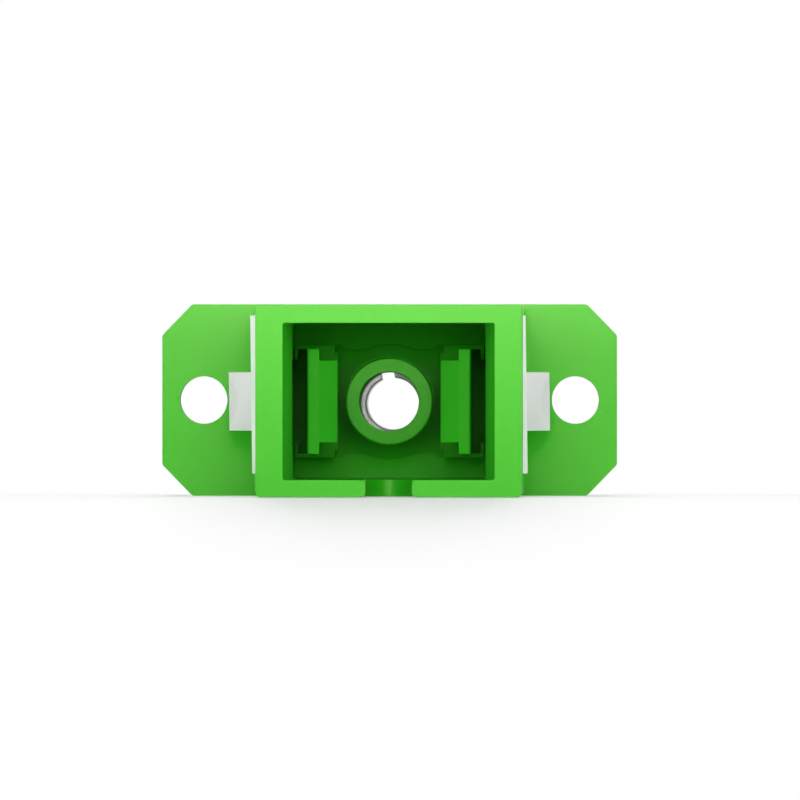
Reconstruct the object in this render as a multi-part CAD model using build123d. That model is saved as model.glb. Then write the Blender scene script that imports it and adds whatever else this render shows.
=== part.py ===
from build123d import *
import math
import os

# A hybrid fibre adapter: an SC/APC port in front and an FC/APC threaded port behind one panel flange.
# Millimetres. X runs across the flange, Z is up and Y runs along the ferrule axis, away from the SC
# mouth. The origin is on the ferrule axis, in the front face of the flange, which seats on the panel.

# Flange, in two halves
screw_pitch = 18.0
screw_hole_radius = 1.15
flange_end = 2.0
flange_height = 9.26
flange_half = 1.2
flange_corner_x = 1.45
flange_corner_z = 1.5
flange_rise = 0.07
parting_bevel = 0.08

# Pegs that register the two halves
peg_radius = 0.55
peg_length = 0.8
peg_inset = 2.1
peg_edge = 1.33
peg_clearance = 0.05

# SC port and the shell round it, in front of the flange
port_width = 9.22
port_height = 7.45
port_corner = 0.12
port_flare = 0.41
port_lead_in = 3.4
shell_length = 12.5
shell_side_wall = 1.27
shell_wall = 0.805
shell_draft = 0.24
shell_corner = 0.22
mouth_edge_bevel = 0.06

# Keyway through the bottom wall of the shell
key_width = 2.2
key_length = 5.0
key_corner = 0.24
key_corner_share = 0.3

# Room for the latch arms to spread, in the side walls of the port
spread_pocket_reach = 0.72
spread_pocket_height = 4.0
spread_pocket_front = 4.2

# Chambers at the joint between the halves, which hold the inserts and the barrel's foot
chamber_ledge_x = 0.79
chamber_ledge_z = 0.375
chamber_corner = 0.5
seat_clearance = 0.06

# Latch insert
latch_plate = 2.5
pad_rise = 1.7
pad_inner_x = 2.45
pad_outer_x = 4.55
pad_half_height = 2.7
pocket_half_height = 2.5
pocket_radius = 2.78
pocket_depth = 0.6
notch_size = 0.36
arm_inner_x = 3.33
arm_outer_x = 3.91
arm_half_height = 2.5
arm_reach = 9.0
arm_edge_round = 0.12
nose_x = 2.47
nose_half_height = 1.95
nose_length = 1.6
nose_flat = 0.35
slot_outer_x = 4.55
slot_step_x = 4.38
slot_step_height = 2.0
slot_floor = 0.5

# Alignment sleeve and the two holders round it
sleeve_outer_radius = 1.6
sleeve_inner_radius = 1.25
sleeve_length = 11.4
sleeve_slit = 0.62
sleeve_slit_turn = -10
sleeve_end_bevel = 0.08
sleeve_play = 0.25
sleeve_end_play = 0.1
sleeve_rest_gap = 0.04
sleeve_settle_angle = -31
holder_wall = 0.25
holder_lip = 0.6
lip_radius = 1.42
holder_edge_round = 0.1

# FC housing, insert and barrel
block_length = 4.4
block_corner = 0.8
block_edge_bevel = 0.3
fc_plate = 1.2
foot_thickness = 1.2
foot_side_clearance = 0.1
barrel_radius = 4.0
barrel_bore_radius = 3.0
barrel_reach = 6.4
barrel_clearance = 0.06
barrel_tip_bevel = 0.4
relief_length = 0.8
relief_depth = 0.35
fc_key_width = 2.15
fc_key_past_thread = 0.3

# Panel clip, bent from one strip of spring steel
clip_sheet = 0.3
clip_outer_width = 13.14
clip_top_z = 4.34
clip_front = 7.7
clip_back = 1.6
clip_leg_top = 4.1
clip_leg_bottom = -3.44
bridge_inset = 1.0
bridge_bend = 0.7
tab_width = 2.8
tab_root = 6.3
tab_end = 2.6
tab_reach = 7.72
tab_slit = 0.25
hook_width = 2.0
hook_reach = 0.55
clip_clearance = 0.04

# Sizes and places that follow from those above
flange_width = screw_pitch + 2 * flange_end
port_mouth_width = port_width + 2 * port_flare
shell_mouth_width = port_mouth_width + 2 * shell_side_wall
shell_root_width = shell_mouth_width + 2 * shell_draft
shell_height = port_height + 2 * shell_wall
chamber_width = port_width + 2 * chamber_ledge_x
chamber_height = port_height + 2 * chamber_ledge_z
peg_x = screw_pitch / 2 - peg_inset
peg_z = flange_height / 2 - peg_edge
contact_y = flange_half
mouth_y = -shell_length
clip_center_y = -(clip_front + clip_back) / 2
block_back_y = contact_y + block_length
holder_bore_radius = sleeve_outer_radius + sleeve_play
holder_radius = holder_bore_radius + holder_wall
holder_bore_length = sleeve_length / 2 + sleeve_end_play
holder_length = holder_bore_length + holder_lip
plate_front_y = contact_y - latch_plate
arm_tip_y = contact_y - arm_reach
chamber_depth = fc_plate + foot_thickness


def across(y):
    """The plane across the ferrule axis at depth y: its x is +X, its y is +Z and it faces the mouth."""
    return Plane(origin=(0, y, 0), x_dir=(1, 0, 0), z_dir=(0, -1, 0))


def slab(outline, front, back):
    """An outline drawn in X and Z, made solid from the depth front to the depth back."""
    return extrude(across(back) * outline, amount=back - front)


def box_between(x0, x1, y0, y1, z0, z1):
    """A box between two corners."""
    center = ((x0 + x1) / 2, (y0 + y1) / 2, (z0 + z1) / 2)
    return Pos(*center) * Box(abs(x1 - x0), abs(y1 - y0), abs(z1 - z0))


def both_sides(shape):
    """The shape and its mirror image across the middle plane of the adapter."""
    return shape + mirror(shape, about=Plane.YZ)


def along_y(edge):
    """Whether an edge runs straight along the ferrule axis."""
    start = edge.position_at(0)
    end = edge.position_at(1)
    return abs(end.X - start.X) < 1e-6 and abs(end.Z - start.Z) < 1e-6


def flange_plate(front, back):
    """One half of the flange: a plate with chamfered corners and two screw holes."""
    corner_x = flange_width / 2 - flange_corner_x
    corner_z = flange_height / 2 - flange_corner_z
    points = [
        (corner_x, flange_height / 2),
        (flange_width / 2, corner_z),
        (flange_width / 2, -corner_z),
        (corner_x, -flange_height / 2),
        (-corner_x, -flange_height / 2),
        (-flange_width / 2, -corner_z),
        (-flange_width / 2, corner_z),
        (-corner_x, flange_height / 2),
    ]
    outline = make_face(Polyline(*points, close=True))
    outline -= GridLocations(screw_pitch, 0, 2, 1) * Circle(screw_hole_radius)
    return slab(Pos(0, flange_rise) * outline, front, back)


def peg_places():
    """The centres of the four registering pegs, in X and Z."""
    return [(x, z) for x in (-peg_x, peg_x) for z in (-peg_z, peg_z)]


def chamber(front, back, grow):
    """A chamber across the joint, or with a negative growth the plate that fits it."""
    outline = RectangleRounded(
        chamber_width + 2 * grow,
        chamber_height + 2 * grow,
        chamber_corner + grow,
    )
    return slab(outline, front, back)


def sc_shell_outside():
    """The drafted outside of the SC shell, from the flange to the mouth."""
    root = across(0) * RectangleRounded(shell_root_width, shell_height, shell_corner)
    mouth = across(mouth_y) * RectangleRounded(shell_mouth_width, shell_height, shell_corner)
    shell = loft([root, mouth])
    rim = shell.faces().sort_by(Axis.Y)[0].edges()
    return chamfer(rim, mouth_edge_bevel)


def sc_port():
    """The hollow of the SC port: a straight box with a tapered lead-in at both sides of its mouth."""
    straight = slab(RectangleRounded(port_width, port_height, port_corner), mouth_y, plate_front_y)
    inner = across(mouth_y + port_lead_in) * RectangleRounded(port_width, port_height, port_corner)
    outer = across(mouth_y) * RectangleRounded(port_mouth_width, port_height, port_corner)
    hollow = straight + loft([inner, outer])
    reach = port_width / 2 + spread_pocket_reach
    pocket = box_between(
        -reach,
        reach,
        mouth_y + spread_pocket_front,
        plate_front_y,
        -spread_pocket_height / 2,
        spread_pocket_height / 2,
    )
    return hollow + pocket


def keyway():
    """The key slot through the bottom wall, with a round inner end and rounded long edges."""
    end_y = mouth_y + key_length - key_width / 2
    run = box_between(-key_width / 2, key_width / 2, mouth_y, end_y, -shell_height / 2, -port_height / 2)
    middle_z = -(shell_height + port_height) / 4
    wall = (shell_height - port_height) / 2
    return run + Pos(0, end_y, middle_z) * Cylinder(key_width / 2, wall)


def clip_recess():
    """The shallow track round the SC shell that the panel clip lies in."""
    front = -clip_front - clip_clearance
    back = -clip_back + clip_clearance
    inner_x = clip_outer_width / 2 - clip_sheet - clip_clearance
    inner_z = clip_top_z - clip_sheet - clip_clearance
    outer = shell_root_width
    side = box_between(inner_x, outer, front, back, clip_leg_bottom - clip_clearance, shell_height)
    top = box_between(-outer, outer, front, back, inner_z, shell_height)
    bend = bridge_bend - clip_sheet - clip_clearance
    corner = box_between(inner_x - bend, outer, front, back, inner_z - bend, shell_height)
    corner -= slab(Pos(inner_x - bend, inner_z - bend) * Circle(bend), front, back)
    notch = box_between(
        inner_x - hook_reach,
        outer,
        clip_center_y - hook_width / 2 - clip_clearance,
        clip_center_y + hook_width / 2 + clip_clearance,
        clip_leg_bottom - clip_clearance,
        clip_leg_bottom + clip_sheet + clip_clearance,
    )
    return both_sides(side) + top + both_sides(corner) + both_sides(notch)


def make_sc_housing():
    """The front housing: flange half and SC shell in one moulding."""
    outside = sc_shell_outside()
    slotted = outside - keyway()
    flange = flange_plate(0, contact_y)
    back_edges = flange.faces().sort_by(Axis.Y)[-1].outer_wire().edges()
    flange = chamfer(back_edges, parting_bevel)
    body = slotted + flange
    body -= sc_port()
    body -= chamber(plate_front_y, contact_y, 0)
    body -= clip_recess()
    for x, z in peg_places():
        socket = Pos(x, z) * Circle(peg_radius + peg_clearance)
        body -= slab(socket, contact_y - peg_length - peg_clearance, contact_y)
    return round_key_edges(body)


def round_key_edges(body):
    """Round the long edges of the keyway, inside the port and on the bottom."""
    levels = (-port_height / 2, -shell_height / 2)
    found = []
    for edge in body.edges().filter_by(along_y):
        point = edge.position_at(0.5)
        on_slot = abs(abs(point.X) - key_width / 2) < 0.01
        if on_slot and min(abs(point.Z - level) for level in levels) < 0.01:
            found.append(edge)
    return fillet(found, min(key_corner, key_corner_share * shell_wall))


def holder_tube(inward):
    """A sleeve holder that stands on the joint: inward is -1 for the SC side and +1 for the FC side."""
    tip_y = contact_y + inward * holder_length
    bore_y = contact_y + inward * holder_bore_length
    low, high = sorted((contact_y, tip_y))
    tube = slab(Circle(holder_radius), low, high)
    tip_edges = tube.edges().filter_by(GeomType.CIRCLE).group_by(Axis.Y)
    tip_edges = tip_edges[0] if inward < 0 else tip_edges[-1]
    tube = fillet(tip_edges, holder_edge_round)
    low, high = sorted((contact_y, bore_y))
    bore = slab(Circle(holder_bore_radius), low, high)
    low, high = sorted((contact_y, tip_y))
    return tube, bore + slab(Circle(lip_radius), low, high)


def latch_arm():
    """The right latch arm: a blade that stands on its pad and ends in a hooked nose."""
    root_y = plate_front_y + pocket_depth
    blade = box_between(arm_inner_x, arm_outer_x, arm_tip_y, root_y, -arm_half_height, arm_half_height)
    outer_edges = blade.edges().filter_by(Axis.Z).group_by(Axis.X)[-1].sort_by(Axis.Y)[0:1]
    blade = fillet(outer_edges, arm_edge_round)
    profile = Polyline(
        (arm_inner_x, arm_tip_y),
        (nose_x, arm_tip_y + nose_flat),
        (nose_x, arm_tip_y + nose_length - nose_flat),
        (arm_inner_x, arm_tip_y + nose_length),
        close=True,
    )
    nose = extrude(Plane.XY.offset(-nose_half_height) * make_face(profile), amount=2 * nose_half_height)
    return blade + nose


def latch_pad():
    """The right pad of the latch insert, which the arm rises from."""
    pad_y = plate_front_y - pad_rise
    root_y = plate_front_y + pocket_depth
    pad = box_between(pad_inner_x, pad_outer_x, pad_y, root_y, -pad_half_height, pad_half_height)
    notch_z = pad_half_height - notch_size / 2
    for z in (-notch_z, notch_z):
        notch = Pos(pad_inner_x, pad_y, z) * Box(notch_size, 2 * pad_rise, notch_size)
        pad -= notch
    return pad


def latch_slot():
    """The deep slot beside the right arm, stepped at both ends, that lets the arm spread."""
    floor_y = contact_y - slot_floor
    front_y = plate_front_y - 2 * pad_rise
    wide = box_between(arm_outer_x, slot_outer_x, front_y, floor_y, -slot_step_height, slot_step_height)
    tall = box_between(arm_outer_x, slot_step_x, front_y, floor_y, -arm_half_height, arm_half_height)
    return wide + tall


def latch_window():
    """The core window through the base plate behind the right nose."""
    return box_between(
        nose_x + seat_clearance,
        arm_inner_x,
        plate_front_y - 2 * pad_rise,
        contact_y,
        -nose_half_height,
        nose_half_height,
    )


def make_latch_insert():
    """The latch insert: base plate, pads, hooked arms and the front sleeve holder in one moulding."""
    plate = chamber(plate_front_y + seat_clearance, contact_y, -seat_clearance)
    pocket = Circle(pocket_radius) + Rectangle(2 * pad_inner_x, 2 * pocket_half_height)
    plate -= slab(pocket, plate_front_y, plate_front_y + pocket_depth)
    body = plate + both_sides(latch_pad())
    body -= both_sides(latch_slot() + latch_window())
    body += both_sides(latch_arm())
    tube, bore = holder_tube(-1)
    return body + tube - bore


def make_alignment_sleeve():
    """The split sleeve that lines up the two ferrules, settled a little off the axis in its holders."""
    front = contact_y - sleeve_length / 2
    back = contact_y + sleeve_length / 2
    sleeve = slab(Circle(sleeve_outer_radius) - Circle(sleeve_inner_radius), front, back)
    ends = sleeve.edges().filter_by(GeomType.CIRCLE)
    sleeve = chamfer(ends, sleeve_end_bevel)
    slit = box_between(
        -sleeve_slit / 2,
        sleeve_slit / 2,
        front,
        back,
        0,
        2 * sleeve_outer_radius,
    )
    sleeve -= Rot(0, sleeve_slit_turn, 0) * slit
    settle = sleeve_play - sleeve_rest_gap
    angle = math.radians(sleeve_settle_angle)
    return Pos(settle * math.cos(angle), 0, settle * math.sin(angle)) * sleeve


def make_fc_housing():
    """The rear housing: flange half and the block that traps the foot of the barrel."""
    flange = flange_plate(contact_y, contact_y + flange_half)
    front_edges = flange.faces().sort_by(Axis.Y)[0].outer_wire().edges()
    flange = chamfer(front_edges, parting_bevel)
    block = slab(
        RectangleRounded(shell_root_width, shell_height, block_corner),
        contact_y,
        block_back_y,
    )
    block = chamfer(block.faces().sort_by(Axis.Y)[-1].edges(), block_edge_bevel)
    body = flange + block
    body -= chamber(contact_y, contact_y + chamber_depth, 0)
    body -= slab(Circle(barrel_radius + barrel_clearance), contact_y, block_back_y)
    for x, z in peg_places():
        body += slab(Pos(x, z) * Circle(peg_radius), contact_y - peg_length, contact_y + flange_half)
    return body


def make_fc_insert():
    """The rear insert: a plate with the rear sleeve holder."""
    plate = chamber(contact_y, contact_y + fc_plate, -seat_clearance)
    tube, bore = holder_tube(1)
    return plate + tube - bore


def make_fc_barrel():
    """The threaded FC barrel: a foot with two flats, a thread cylinder, a relief and a key slot."""
    foot_y = contact_y + fc_plate
    tip_y = block_back_y + barrel_reach
    foot_width = chamber_width - 2 * foot_side_clearance
    foot_height = chamber_height - 2 * seat_clearance
    foot_outline = Circle(foot_width / 2) & Rectangle(foot_width, foot_height)
    foot = slab(foot_outline, foot_y, foot_y + foot_thickness - seat_clearance)
    barrel = slab(Circle(barrel_radius), foot_y, tip_y)
    tip_edge = barrel.edges().filter_by(GeomType.CIRCLE).sort_by(Axis.Y)[-1]
    barrel = chamfer(tip_edge, barrel_tip_bevel)
    relief_ring = Circle(2 * barrel_radius) - Circle(barrel_radius - relief_depth)
    barrel -= slab(relief_ring, block_back_y, block_back_y + relief_length)
    body = foot + barrel
    body -= slab(Circle(barrel_bore_radius), foot_y, tip_y)
    key = box_between(
        -fc_key_width / 2,
        fc_key_width / 2,
        block_back_y + relief_length - fc_key_past_thread,
        tip_y,
        -2 * barrel_radius,
        0,
    )
    return body - key


def clip_band():
    """The plain strip of the clip before its tabs are cut: two legs and the bridge over the top."""
    outer_x = clip_outer_width / 2
    inner_x = outer_x - clip_sheet
    front = -clip_front
    back = -clip_back
    leg = box_between(inner_x, outer_x, front, back, clip_leg_bottom, clip_top_z - bridge_bend)
    shoulder = box_between(inner_x, outer_x, front, front + bridge_inset, clip_leg_bottom, clip_leg_top)
    rear_shoulder = box_between(inner_x, outer_x, back - bridge_inset, back, clip_leg_bottom, clip_leg_top)
    bridge_outline = Rectangle(2 * outer_x, 2 * clip_top_z)
    bridge_outline = fillet(bridge_outline.vertices(), bridge_bend)
    bridge_hole = Rectangle(2 * inner_x, 2 * (clip_top_z - clip_sheet))
    bridge_hole = fillet(bridge_hole.vertices(), bridge_bend - clip_sheet)
    arch = slab(bridge_outline - bridge_hole, front + bridge_inset, back - bridge_inset)
    arch &= box_between(-outer_x, outer_x, front, back, 0, clip_top_z)
    return arch + both_sides(leg + shoulder + rear_shoulder)


def clip_tab():
    """The right spring tab: rooted near the mouth and flared out towards the flange."""
    outer_x = clip_outer_width / 2
    inner_x = outer_x - clip_sheet
    slope = math.atan2(tab_reach - outer_x, tab_root - tab_end)
    shift_x = clip_sheet * math.cos(slope)
    shift_y = clip_sheet * math.sin(slope)
    profile = Polyline(
        (inner_x, -tab_root - clip_sheet),
        (outer_x, -tab_root - clip_sheet),
        (outer_x, -tab_root),
        (tab_reach, -tab_end),
        (tab_reach - shift_x, -tab_end + shift_y),
        (inner_x, -tab_root + shift_y),
        close=True,
    )
    return extrude(Plane.XY.offset(-tab_width / 2) * make_face(profile), amount=tab_width)


def clip_hook():
    """The small hook at the end of the right leg, which holds the clip down in its track."""
    inner_x = clip_outer_width / 2 - clip_sheet
    return box_between(
        inner_x - hook_reach + clip_clearance,
        inner_x,
        clip_center_y - hook_width / 2,
        clip_center_y + hook_width / 2,
        clip_leg_bottom,
        clip_leg_bottom + clip_sheet,
    )


def make_panel_clip():
    """The panel clip: a bent strip with a tab cut from each leg and a hook at each end."""
    outer_x = clip_outer_width / 2
    window = box_between(
        outer_x - 2 * clip_sheet,
        outer_x + clip_sheet,
        -tab_root,
        -tab_end + tab_slit,
        -tab_width / 2 - tab_slit,
        tab_width / 2 + tab_slit,
    )
    return clip_band() - both_sides(window) + both_sides(clip_tab() + clip_hook())


def write(node, shape):
    """Save one piece under its node's name."""
    shape.label = node
    export_step(shape, f"parts/{node}.step")
    print(node, len(shape.solids()), round(shape.volume, 2))


def main():
    """Make every piece and save it."""
    os.makedirs("parts", exist_ok=True)
    write("sc_housing", make_sc_housing())
    write("fc_housing", make_fc_housing())
    write("latch_insert", make_latch_insert())
    write("fc_insert", make_fc_insert())
    write("alignment_sleeve", make_alignment_sleeve())
    write("panel_clip", make_panel_clip())
    write("fc_barrel", make_fc_barrel())


main()
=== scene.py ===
"""The looks of a hybrid fibre adapter: green housings, latches, steel clip, ceramic sleeve, barrel.

Pieces are drawn in millimetres, across the ferrule axis in X and Z and along it in Y, and are
scaled to metres when they are finished. The square port looks towards -Y.
"""

import logging
import math
from dataclasses import dataclass
from enum import Enum

import bmesh
import bpy
from mathutils import Matrix, Vector

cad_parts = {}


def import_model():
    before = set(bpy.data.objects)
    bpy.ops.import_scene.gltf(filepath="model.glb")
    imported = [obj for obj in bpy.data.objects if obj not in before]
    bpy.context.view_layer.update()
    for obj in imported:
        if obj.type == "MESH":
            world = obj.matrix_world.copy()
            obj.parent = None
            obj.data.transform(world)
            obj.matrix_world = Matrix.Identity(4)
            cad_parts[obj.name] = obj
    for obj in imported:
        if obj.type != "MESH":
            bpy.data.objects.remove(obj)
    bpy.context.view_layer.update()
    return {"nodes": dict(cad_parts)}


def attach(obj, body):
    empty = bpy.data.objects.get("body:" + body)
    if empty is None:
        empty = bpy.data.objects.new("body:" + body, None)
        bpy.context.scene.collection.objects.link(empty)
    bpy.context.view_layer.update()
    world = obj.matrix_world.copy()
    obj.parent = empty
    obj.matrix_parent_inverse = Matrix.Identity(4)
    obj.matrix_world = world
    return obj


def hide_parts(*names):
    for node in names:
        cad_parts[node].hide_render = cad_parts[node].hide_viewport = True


LOG = logging.getLogger("hybrid_adapter")
METRES = 0.001
PAST = 1.0  # mm that a tool runs out of what it cuts
OVERLAP = 0.01  # mm that two tools run into each other, so that no skin is left between them
WELD = 1e-5  # mm within which points of a new solid are one
SLIVER = 2e-4  # mm within which points that a cut has left are one
FLAT_DEGREES = 0.4  # the bend below which two faces are one
WAVE_RATE = 20  # how many times its scale the phase of the wave texture runs

Point = tuple[float, float]
Outline = list[Point]
Solid = bpy.types.Object
Socket = bpy.types.NodeSocket


class Side(Enum):
    """The two ports of the adapter, as the direction that each looks in along Y."""

    SQUARE = -1
    ROUND = 1


class Cut(Enum):
    """How one solid changes another."""

    JOIN = "UNION"
    REMOVE = "DIFFERENCE"


# Colour and nodes

def to_linear(hex_colour: str) -> tuple[float, float, float, float]:
    """Turn a screen colour into the linear colour that the shaders take.

    Args:
        hex_colour: An sRGB colour such as "#5fc241".

    Returns:
        Linear red, green, blue and an alpha of 1.
    """
    channels = []
    for start in (1, 3, 5):
        value = int(hex_colour[start:start + 2], 16) / 255
        channels.append(value / 12.92 if value <= 0.04045 else ((value + 0.055) / 1.055) ** 2.4)
    return (channels[0], channels[1], channels[2], 1.0)


def set_up(tree: bpy.types.NodeTree, node: bpy.types.Node, settings: dict, inputs: dict) -> None:
    """Set a node's attributes and inputs.

    Args:
        tree: The tree that the node is in.
        node: The node.
        settings: Its attributes, and values for its inputs under their names or numbers.
        inputs: Sockets or values for its inputs, under their names with or without underscores
            for spaces, or in0, in1 for numbers.
    """
    for key, value in settings.items():
        if isinstance(key, int) or key in node.inputs:
            node.inputs[key].default_value = value
        else:
            setattr(node, key, value)
    for key, value in inputs.items():
        by_number = key[:2] == "in" and key[2:].isdigit()
        target = node.inputs[int(key[2:]) if by_number else key.replace("_", " ")]
        if isinstance(value, Socket):
            tree.links.new(value, target)
        else:
            target.default_value = value


def add_node(tree: bpy.types.NodeTree, kind: str, settings: dict | None = None,
             **inputs) -> bpy.types.Node:
    """Add one node, set it up and link its inputs, as set_up says."""
    node = tree.nodes.new(kind)
    set_up(tree, node, settings or {}, inputs)
    return node


def seen_by(tree: bpy.types.NodeTree, *rays: str) -> Socket:
    """A socket that is 1 where the ray is of one of the kinds named, such as Is Camera Ray."""
    path = add_node(tree, "ShaderNodeLightPath").outputs
    seen = path[rays[0]]
    for ray in rays[1:]:
        seen = add_node(tree, "ShaderNodeMath", {"operation": "MAXIMUM"}, in0=seen,
                        in1=path[ray]).outputs[0]
    return seen


# Outlines across the ferrule axis

def arc(center: Point, radius: float, start: float, end: float, steps: int) -> Outline:
    """Points along an arc.

    Args:
        center: The arc's centre in X and Z.
        radius: Its radius in mm.
        start: The angle of its first point in degrees, from +X towards +Z.
        end: The angle of its last point.
        steps: How many pieces it is cut into.

    Returns:
        The points, both ends included.
    """
    points = []
    for index in range(steps + 1):
        angle = math.radians(start + (end - start) * index / steps)
        points.append((center[0] + radius * math.cos(angle), center[1] + radius * math.sin(angle)))
    return points


def circle(radius: float, steps: int = 96, center: Point = (0.0, 0.0)) -> Outline:
    """A full circle, without its last point twice."""
    return arc(center, radius, 0, 360, steps)[:-1]


def rounded_box(width: float, height: float, radius: float, steps: int = 6) -> Outline:
    """A rectangle round the origin with arcs for corners."""
    x, z = width / 2 - radius, height / 2 - radius
    points: Outline = []
    for corner_x, corner_z, start in ((x, z, 0), (-x, z, 90), (-x, -z, 180), (x, -z, 270)):
        points += arc((corner_x, corner_z), radius, start, start + 90, steps)
    return points


def mirrored(outline: Outline) -> Outline:
    """The outline on the other side of the middle plane."""
    return [(-x, z) for x, z in outline]


def with_mirrored(right: Outline) -> Outline:
    """A closed outline from its right half, which starts and ends at the middle plane."""
    return right + mirrored(list(reversed(right)))


# Solids

def store(name: str, work: bmesh.types.BMesh) -> Solid:
    """Turn a bmesh's faces outwards, free it and put it in the scene as an object."""
    bmesh.ops.recalc_face_normals(work, faces=work.faces)
    mesh = bpy.data.meshes.new(name)
    work.to_mesh(mesh)
    work.free()
    made = bpy.data.objects.new(name, mesh)
    bpy.context.scene.collection.objects.link(made)
    return made


def solid_from(name: str, work: bmesh.types.BMesh) -> Solid:
    """Close a bmesh and store it as an object."""
    bmesh.ops.remove_doubles(work, verts=work.verts, dist=WELD)
    return store(name, work)


def prism(outline: Outline, front: float, back: float, front_outline: Outline | None = None,
          name: str = "tool") -> Solid:
    """A solid between two outlines, or with one outline the same all along.

    Args:
        outline: The outline at the back, in X and Z.
        front: The Y of the front face.
        back: The Y of the back face.
        front_outline: Another outline with as many points, for a taper.
        name: The object's name.

    Returns:
        The closed solid.
    """
    work = bmesh.new()
    near = [work.verts.new((x, front, z)) for x, z in (front_outline or outline)]
    far = [work.verts.new((x, back, z)) for x, z in outline]
    return between(work, near, far, name)


def lying_prism(outline: Outline, low: float, high: float) -> Solid:
    """A solid from an outline in X and Y, made thick along Z."""
    work = bmesh.new()
    under = [work.verts.new((x, y, low)) for x, y in outline]
    over = [work.verts.new((x, y, high)) for x, y in outline]
    return between(work, under, over, "tool")


def between(work: bmesh.types.BMesh, first: list[bmesh.types.BMVert],
            second: list[bmesh.types.BMVert], name: str) -> Solid:
    """Close the solid between two rings of as many points.

    Args:
        work: The bmesh that the points are in, which this call frees.
        first: One ring.
        second: The other ring.
        name: The object's name.

    Returns:
        The closed solid.
    """
    work.faces.new(first)
    work.faces.new(list(reversed(second)))
    count = len(first)
    for index in range(count):
        after = (index + 1) % count
        work.faces.new((first[index], second[index], second[after], first[after]))
    return solid_from(name, work)


def box(x: Point, y: Point, z: Point) -> Solid:
    """A box from its range along each axis."""
    return prism([(x[0], z[0]), (x[1], z[0]), (x[1], z[1]), (x[0], z[1])], y[0], y[1])


def turned(profile: Outline, steps: int = 128, center: Point = (0.0, 0.0),
           name: str = "tool") -> Solid:
    """A closed section of radius and Y, turned round an axis along Y.

    Args:
        profile: The section's points, each a radius and a Y.
        steps: How many facets go round.
        center: Where the axis stands in X and Z.
        name: The object's name.

    Returns:
        The closed ring.
    """
    work = bmesh.new()
    rings = []
    for index in range(steps):
        angle = 2 * math.pi * index / steps
        rings.append([work.verts.new((center[0] + radius * math.cos(angle), y,
                                      center[1] + radius * math.sin(angle)))
                      for radius, y in profile])
    for index, ring in enumerate(rings):
        other = rings[(index + 1) % steps]
        for spot in range(len(profile)):
            after = (spot + 1) % len(profile)
            work.faces.new((ring[spot], other[spot], other[after], ring[after]))
    return solid_from(name, work)


def bake(piece: Solid) -> None:
    """Turn a piece and its modifiers into a plain mesh."""
    graph = bpy.context.evaluated_depsgraph_get()
    mesh = bpy.data.meshes.new_from_object(piece.evaluated_get(graph))
    piece.modifiers.clear()
    old = piece.data
    piece.data = mesh
    bpy.data.meshes.remove(old)


def shape(piece: Solid, how: Cut, tools: list[Solid]) -> Solid:
    """Join or remove solids, one after the other, and throw the tools away.

    Args:
        piece: The solid that is changed.
        how: What the tools do to it.
        tools: The other solids.

    Returns:
        The same piece.
    """
    for tool in tools:
        step = piece.modifiers.new("cut", "BOOLEAN")
        step.operation = how.value
        step.solver = "EXACT"
        step.object = tool
    bake(piece)
    for tool in tools:
        mesh = tool.data
        bpy.data.objects.remove(tool)
        bpy.data.meshes.remove(mesh)
    return piece


def pairs(*tools: Solid) -> list[Solid]:
    """Each solid, followed by its mirror image across the middle plane."""
    both = []
    for tool in tools:
        work = bmesh.new()
        work.from_mesh(tool.data)
        bmesh.ops.transform(work, matrix=Matrix.Diagonal((-1, 1, 1, 1)), verts=work.verts)
        both += [tool, store(tool.name, work)]
    return both


def soften(piece: Solid, width: float, segments: int = 2, limit: float = 32.0) -> None:
    """Round a piece's edges as a mould or a die leaves them, and shade its flats flat.

    Args:
        piece: The piece, in millimetres.
        width: How far the rounding reaches from an edge.
        segments: How many facets a rounding has.
        limit: The angle in degrees from which an edge is rounded.
    """
    work = bmesh.new()
    work.from_mesh(piece.data)
    bmesh.ops.remove_doubles(work, verts=work.verts, dist=SLIVER)
    bmesh.ops.dissolve_limit(work, angle_limit=math.radians(FLAT_DEGREES), verts=work.verts,
                             edges=work.edges)
    work.to_mesh(piece.data)
    work.free()
    bevel = piece.modifiers.new("edges", "BEVEL")
    bevel.width = width
    bevel.segments = segments
    bevel.limit_method = "ANGLE"
    bevel.angle_limit = math.radians(limit)
    bevel.use_clamp_overlap = True
    bevel.miter_outer = "MITER_ARC"
    bake(piece)
    piece.data.shade_smooth()
    flats = piece.modifiers.new("flats", "WEIGHTED_NORMAL")
    flats.weight = 80
    flats.keep_sharp = True
    bake(piece)


# Finishes

@dataclass(frozen=True)
class Finish:
    """A surface: two colours that a pattern mixes, and a roughness that it varies."""

    name: str
    colour: str
    other_colour: str
    roughness: float

    def pattern(self, tree: bpy.types.NodeTree, place: bpy.types.Node) -> tuple[Socket, dict]:
        """Add the nodes of the pattern.

        Args:
            tree: The material's tree.
            place: The node that gives coordinates in the object's own space.

        Returns:
            The other colour's share, and the shader's other inputs, by name.
        """
        raise NotImplementedError

    def material(self) -> bpy.types.Material:
        """Build the material."""
        made = bpy.data.materials.new(self.name)
        made.use_nodes = True
        tree = made.node_tree
        share, inputs = self.pattern(tree, add_node(tree, "ShaderNodeTexCoord"))
        colours = {6: to_linear(self.colour), 7: to_linear(self.other_colour)}
        tint = add_node(tree, "ShaderNodeMix", {"data_type": "RGBA"} | colours, in0=share)
        inputs["Base Color"] = tint.outputs[2]
        set_up(tree, tree.nodes["Principled BSDF"], {}, inputs)
        return made


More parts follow.
